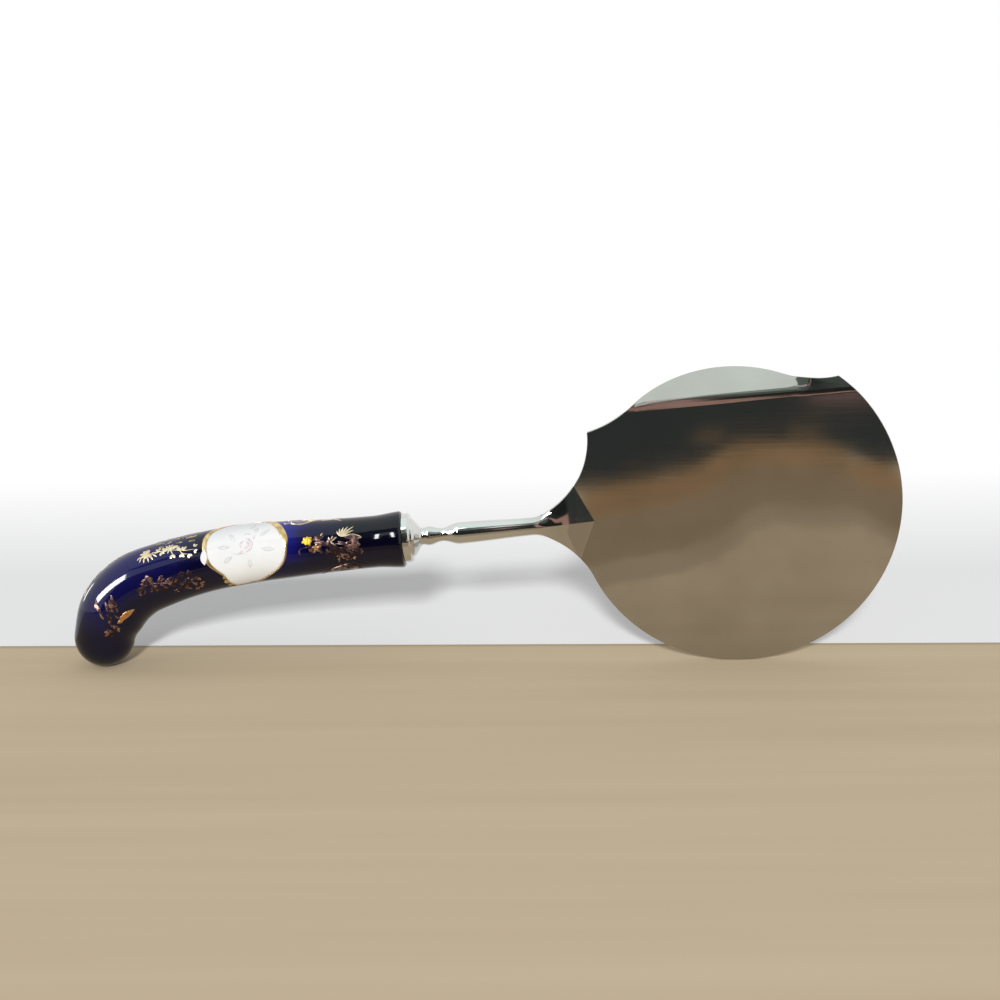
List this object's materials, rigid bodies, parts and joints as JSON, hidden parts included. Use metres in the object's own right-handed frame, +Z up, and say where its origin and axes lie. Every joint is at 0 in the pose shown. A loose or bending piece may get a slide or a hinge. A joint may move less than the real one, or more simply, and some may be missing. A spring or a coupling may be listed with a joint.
{
  "type": "cake server",
  "caption": "Cake server with a round steel blade, a raised lobed edge, a slim turned stem and a hollow porcelain pistol-grip handle.",
  "frame": {"origin": "on the standing surface, below the middle of the server's box", "axes": "+X from the handle to the blade, +Y from the blade's underside to its serving side, +Z up with the server standing on the blade's rim and the butt"},
  "size_m": [0.2594, 0.0214, 0.0919],
  "materials": {
    "blade_steel": "polished along the blade",
    "bright_steel": "bright polished",
    "braze": "as brazed",
    "porcelain": "gloss cobalt glaze",
    "cement": "matt"
  },
  "bodies": {
    "root": {"blade": "blade_steel", "stem": "bright_steel", "braze_layers": "braze", "ferrule": "bright_steel", "handle": "porcelain", "cement_core": "cement"}
  },
  "joints": []
}
